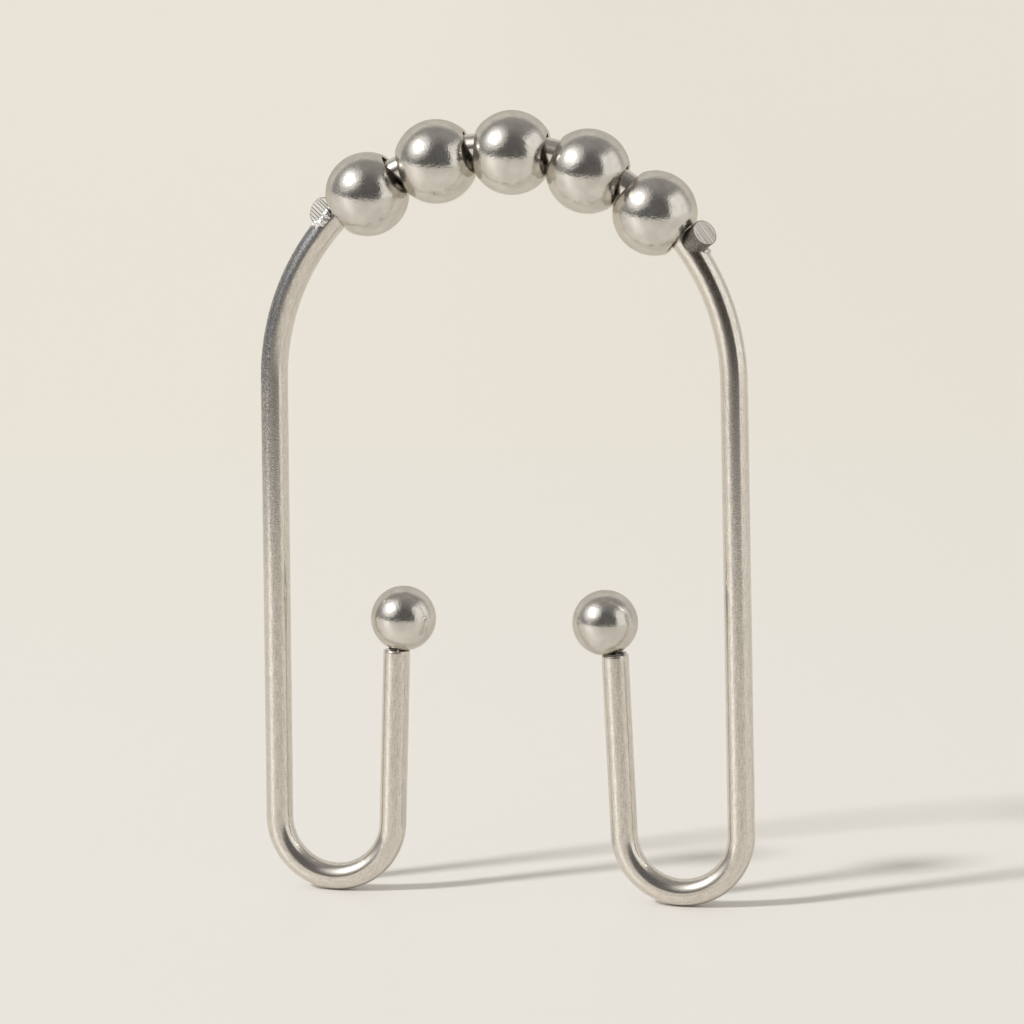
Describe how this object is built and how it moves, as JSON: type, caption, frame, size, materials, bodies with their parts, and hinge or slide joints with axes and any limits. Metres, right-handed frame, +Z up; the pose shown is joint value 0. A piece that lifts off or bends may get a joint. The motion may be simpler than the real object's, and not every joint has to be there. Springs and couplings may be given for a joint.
{
  "type": "curtain hook",
  "caption": "Double wire curtain hook with a row of bored roller balls on its arch, two U-shaped hooks and ball-capped wire ends.",
  "frame": {"origin": "crown of the curtain rod, under the middle of the row of roller balls and on the hook's middle plane", "axes": "+Z up, X across the hook from one leg to the other, Y along the rod"},
  "size_m": [0.0482, 0.008, 0.0757],
  "materials": {
    "drawn_wire": "drawn wire, satin",
    "polished_ball": "polished, fine grain",
    "sawn_stop": "sawn end, bare weld"
  },
  "bodies": {
    "frame": {"wire_frame": "drawn_wire", "tip_ball_left": "polished_ball", "tip_ball_right": "polished_ball", "stop_pin_left": "sawn_stop", "stop_pin_right": "sawn_stop"},
    "roller_1": {"roller_ball_1": "polished_ball"},
    "roller_2": {"roller_ball_2": "polished_ball"},
    "roller_3": {"roller_ball_3": "polished_ball"},
    "roller_4": {"roller_ball_4": "polished_ball"},
    "roller_5": {"roller_ball_5": "polished_ball"}
  },
  "joints": [
    {"name": "roller_1_spin", "type": "hinge", "parent": "frame", "child": "roller_1", "pos_m": [-0.01289, 0, 0.00005], "axis": [0.8112, 0.0523, 0.5824], "continuous": true},
    {"name": "roller_2_spin", "type": "hinge", "parent": "frame", "child": "roller_2", "pos_m": [-0.00607, 0, 0.00314], "axis": [0.9556, 0.1045, 0.2756], "continuous": true},
    {"name": "roller_3_spin", "type": "hinge", "parent": "frame", "child": "roller_3", "pos_m": [0.00134, 0, 0.00396], "axis": [0.9943, 0.0872, -0.0608], "continuous": true},
    {"name": "roller_4_spin", "type": "hinge", "parent": "frame", "child": "roller_4", "pos_m": [0.0087, 0, 0.0022], "axis": [0.9172, 0.0349, -0.3969], "continuous": true},
    {"name": "roller_5_spin", "type": "hinge", "parent": "frame", "child": "roller_5", "pos_m": [0.01508, 0, -0.00174], "axis": [0.7314, 0.0175, -0.6818], "continuous": true}
  ]
}
